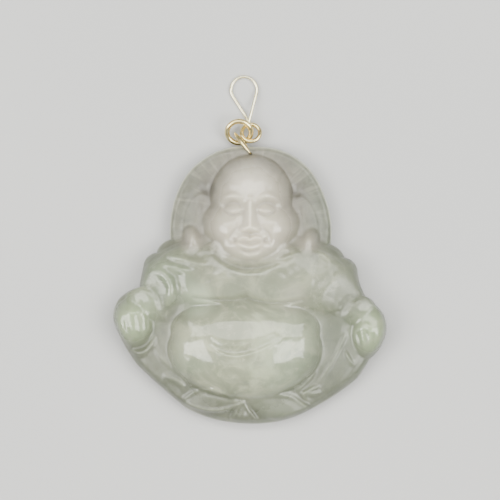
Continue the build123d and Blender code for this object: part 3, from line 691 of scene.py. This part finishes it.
def jade_material():
    """Pale celadon jade: translucent, cloudy, lavender grey on the head, polished by hand."""
    m = Shader("jade_polished")
    swell = m.bump(m.noise(170, 2, 0.4), 0.1)
    waves = m.bump(m.noise(420, 2, 0.4), 0.06, swell)
    polish = m.bump(m.noise(2600, 3, 0.6), 0.004, waves)
    m.set(
        Base_Color=rim_highlight_colour(m, halo_streaks_and_shade(m, thin_shade_colour(m, body_colour(m)))),
        Roughness=jade_roughness(m),
        IOR=1.56,
        Coat_Weight=0.1,
        Coat_Roughness=0.1,
        Subsurface_Weight=1.0,
        Subsurface_Radius=(1.0, 1.05, 0.9),
        Subsurface_Scale=1.0 * MM,
        Normal=polish,
    )
    return m.material


# Bright and deep tones of the two golds, and the floor's two tones
GOLD_COLOURS = (0.93, 0.79, 0.40), (0.74, 0.60, 0.29)
PALE_GOLD_COLOURS = (0.98, 0.92, 0.66), (0.90, 0.82, 0.54)
FLOOR_COLOURS = (0.45, 0.455, 0.465), (0.48, 0.48, 0.485)


def gold_material(name, bright, deep):
    """Polished gold wire with faint drawing marks and a tone that varies a little."""
    m = Shader(name)
    tone = m.ramp(m.noise(900, 2), 0.35, 0.65)
    marks = m.noise(5200, 4, 0.65)
    m.set(
        Base_Color=m.mix(tone, deep, bright),
        Metallic=1.0,
        Roughness=m.ramp(m.noise(2400, 3), 0.3, 0.7, 0.12, 0.24),
        Normal=m.bump(marks, 0.006),
    )
    return m.material


def floor_material():
    """Plain pale matt floor."""
    m = Shader("pale_floor")
    tone = m.ramp(m.noise(9, 2), 0.3, 0.7)
    m.set(
        Base_Color=m.mix(tone, *FLOOR_COLOURS),
        Roughness=0.8,
    )
    return m.material


# The scene


def panel(name, low, high, height, power):
    """A soft rectangular light facing straight down, from corner to corner in metres."""
    data = bpy.data.lights.new(name, "AREA")
    data.shape = "RECTANGLE"
    data.size, data.size_y = high[0] - low[0], high[1] - low[1]
    data.color = PANEL_COLOUR
    data.energy = power * data.size * data.size_y
    light = bpy.data.objects.new(name, data)
    light.location = ((low[0] + high[0]) / 2, (low[1] + high[1]) / 2, height)
    light.visible_camera = False
    bpy.context.scene.collection.objects.link(light)
    return light


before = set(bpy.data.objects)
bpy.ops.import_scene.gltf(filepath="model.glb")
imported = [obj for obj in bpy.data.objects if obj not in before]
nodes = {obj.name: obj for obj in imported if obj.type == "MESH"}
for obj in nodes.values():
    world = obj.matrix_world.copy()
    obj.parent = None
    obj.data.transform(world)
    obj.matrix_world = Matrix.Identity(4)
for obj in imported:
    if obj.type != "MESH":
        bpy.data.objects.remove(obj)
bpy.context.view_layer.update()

jade = drilled(carving())
jade.data.materials.clear()
jade.data.materials.append(jade_material())
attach(jade, "root")
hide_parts("jade_buddha")

gold = gold_material("gold_polished", *GOLD_COLOURS)
pale_gold = gold_material("pale_gold_polished", *PALE_GOLD_COLOURS)
for name, finish in (
    ("pinch_bail", gold),
    ("large_ring", gold),
    ("small_ring", gold),
    ("wire_loop", pale_gold),
):
    slots = nodes[name].data.materials
    slots.clear()
    slots.append(finish)

# Floor, its reach and its drop below the pendant in millimetres
FLOOR_REACH = 600
FLOOR_DROP = 0.05
corners = [
    (x * FLOOR_REACH, y * FLOOR_REACH, -FLOOR_DROP)
    for x, y in ((-1, -1), (1, -1), (1, 1), (-1, 1))
]
floor = new_piece("floor", corners, [(0, 1, 2, 3)])
floor.data.materials.append(floor_material())
floor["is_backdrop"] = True

# Lights, in metres. Seen from the pendant they are a wide ceiling toward the crown, two
# brighter panels toward the base, and a dim card overhead that fills the gap between them
PANEL_HEIGHT = 0.6
PANEL_COLOUR = (1.0, 0.99, 0.92)
PANELS = [
    # name, low corner, high corner, power per square metre
    ("ceiling", (-0.7, 0.17), (0.7, 0.40), 22),
    ("panel_left", (-1.1, -0.34), (-0.30, 0.10), 36),
    ("panel_right", (0.25, -0.34), (0.9, 0.10), 36),
    ("overhead", (-0.30, -0.34), (0.25, 0.17), 3.8),
]
for name, low, high, power in PANELS:
    panel(name, low, high, PANEL_HEIGHT, power)

ROOM_COLOUR = (0.85, 0.87, 0.88)
ROOM_STRENGTH = 0.5
world = bpy.data.worlds.new("room")
world.use_nodes = True
background = world.node_tree.nodes["Background"]
background.inputs["Color"].default_value = (*ROOM_COLOUR, 1)
background.inputs["Strength"].default_value = ROOM_STRENGTH
bpy.context.scene.world = world

# Camera: straight above, with a long lens, all in millimetres. The picture's width is
# what it spans at the focus height, which is about half way up the stone
PICTURE_WIDTH = 85.75
LENS = 300
SENSOR = 36
FOCUS_HEIGHT = 3.0
VIEW_MIDDLE = (0.0, 6.09)
camera_data = bpy.data.cameras.new("camera")
camera_data.lens = LENS
camera_data.sensor_width = SENSOR
camera_data.clip_start = 0.01
camera_data.clip_end = 5
camera = bpy.data.objects.new("camera", camera_data)
camera_height = PICTURE_WIDTH * LENS / SENSOR + FOCUS_HEIGHT
camera.location = Vector((*VIEW_MIDDLE, camera_height)) * MM
bpy.context.scene.collection.objects.link(camera)
bpy.context.scene.camera = camera

low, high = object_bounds()
